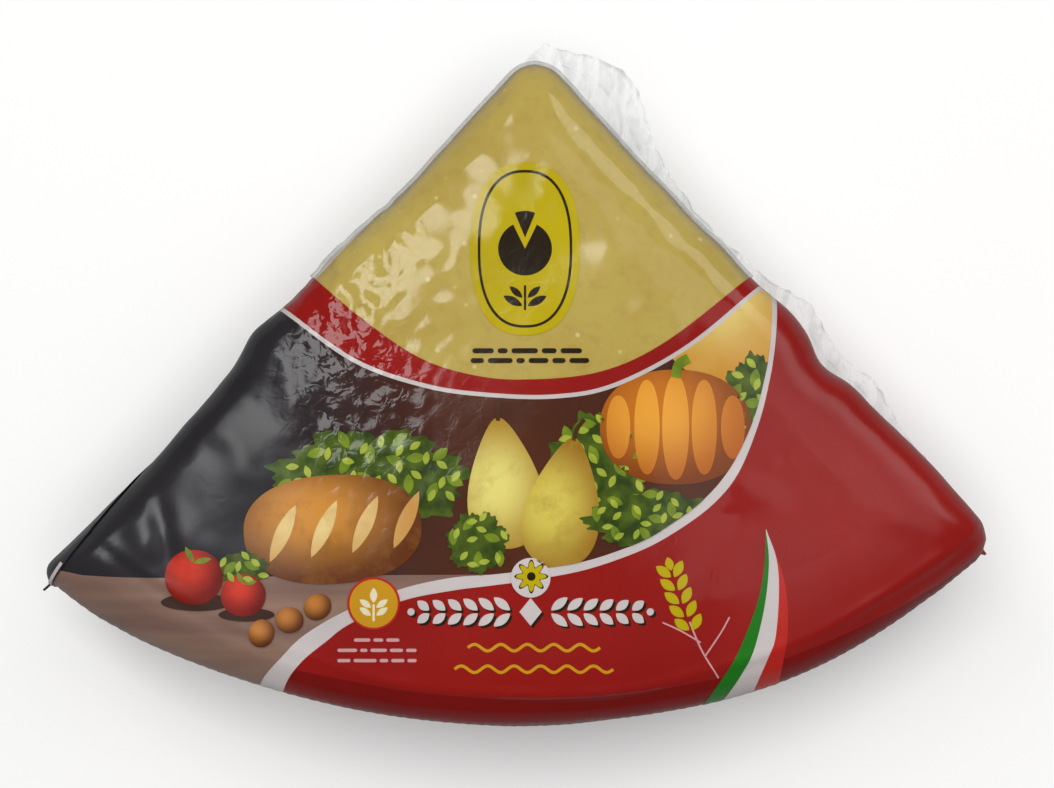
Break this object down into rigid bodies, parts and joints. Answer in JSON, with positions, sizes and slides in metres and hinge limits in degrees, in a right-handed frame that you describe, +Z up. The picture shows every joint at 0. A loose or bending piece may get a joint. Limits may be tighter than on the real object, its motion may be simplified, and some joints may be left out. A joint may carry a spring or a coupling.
{
  "type": "vacuum-packed hard cheese wedge",
  "caption": "Sector-shaped wedge of hard cheese sealed tightly in printed film with a clear window over the tip, lying flat, rounded rind side, thin clear seal along one side.",
  "frame": {"origin": "under the middle of the bounding box, on the face that the wedge rests on", "axes": "+Z up through the thickness, +Y towards the apex, -Y towards the curved rind side, +X to the right seen from the rind side"},
  "size_m": [0.2912, 0.2164, 0.1057],
  "materials": {
    "printed_film": "glossy shrunk film, printed red with a dark picture field",
    "clear_film": "clear glossy film of the window and the seal",
    "cheese": "pale straw hard cheese, faintly mottled"
  },
  "bodies": {
    "root": {"wedge_pack": "printed_film"}
  },
  "joints": []
}
